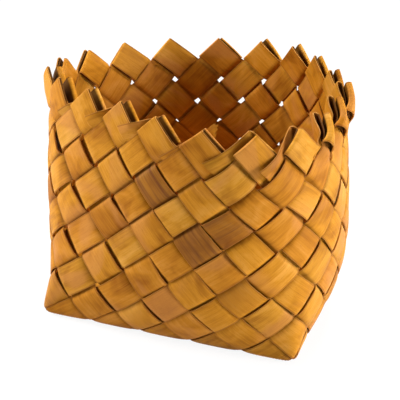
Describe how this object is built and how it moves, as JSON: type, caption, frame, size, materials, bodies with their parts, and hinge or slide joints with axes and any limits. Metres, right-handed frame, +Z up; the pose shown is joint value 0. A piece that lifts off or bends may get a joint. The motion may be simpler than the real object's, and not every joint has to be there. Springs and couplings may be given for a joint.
{
  "type": "storage basket",
  "caption": "Square-based basket plaited on the bias from flat wood splints, round and open at the top, with a zigzag rim of splint ends folded over and tucked in; it stores small goods.",
  "frame": {"origin": "middle of the basket's outline seen from above, on the surface the basket stands on", "axes": "+Z up through the open top; +X and +Y square to two neighbouring sides of the base"},
  "size_m": [0.2634, 0.2614, 0.2083],
  "materials": {
    "honey_wood": "thin stained wood splint, satin, grain along the splint",
    "amber_wood": "thin stained wood splint, deeper amber, grain along the splint",
    "straw_wood": "thin stained wood splint, paler, grain along the splint",
    "umber_wood": "thin stained wood splint, dark brown with stains, grain along the splint"
  },
  "bodies": {
    "root": {"warp_splint_01": "straw_wood", "warp_splint_02": "honey_wood", "warp_splint_03": "honey_wood", "warp_splint_04": "amber_wood", "warp_splint_05": "straw_wood", "warp_splint_06": "straw_wood", "warp_splint_07": "amber_wood", "warp_splint_08": "honey_wood", "warp_splint_09": "amber_wood", "warp_splint_10": "honey_wood", "weft_splint_01": "amber_wood", "weft_splint_02": "amber_wood", "weft_splint_03": "honey_wood", "weft_splint_04": "straw_wood", "weft_splint_05": "straw_wood", "weft_splint_06": "umber_wood", "weft_splint_07": "honey_wood", "weft_splint_08": "amber_wood", "weft_splint_09": "honey_wood", "weft_splint_10": "straw_wood"}
  },
  "joints": []
}
